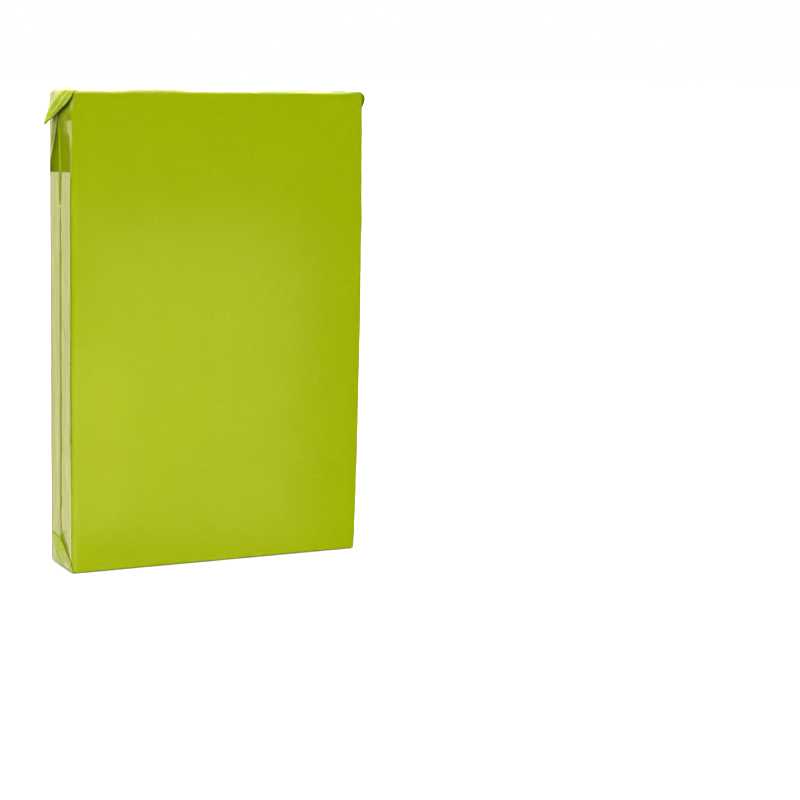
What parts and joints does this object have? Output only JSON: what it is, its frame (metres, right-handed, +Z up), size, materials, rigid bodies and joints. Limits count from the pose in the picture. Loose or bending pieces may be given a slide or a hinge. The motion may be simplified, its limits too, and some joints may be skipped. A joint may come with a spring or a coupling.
{
  "type": "poly mailer bag",
  "caption": "Filled and sealed plastic mailing bag standing upright, pulled tight over a flat carton, with folded corner ears and clear tape down one narrow side.",
  "frame": {"origin": "centre of the flat bottom face, where the pack stands", "axes": "+Z up along the pack's height, +X along its width away from the taped narrow side, +Y from the front panel towards the back panel with the closure flap"},
  "size_m": [0.3161, 0.0715, 0.4654],
  "materials": {
    "film": "satin opaque lime green polyethylene film",
    "tape": "glossy clear packing tape with a faint cream haze"
  },
  "bodies": {
    "root": {"mailer_bag": "film", "side_tape": "tape"}
  },
  "joints": []
}
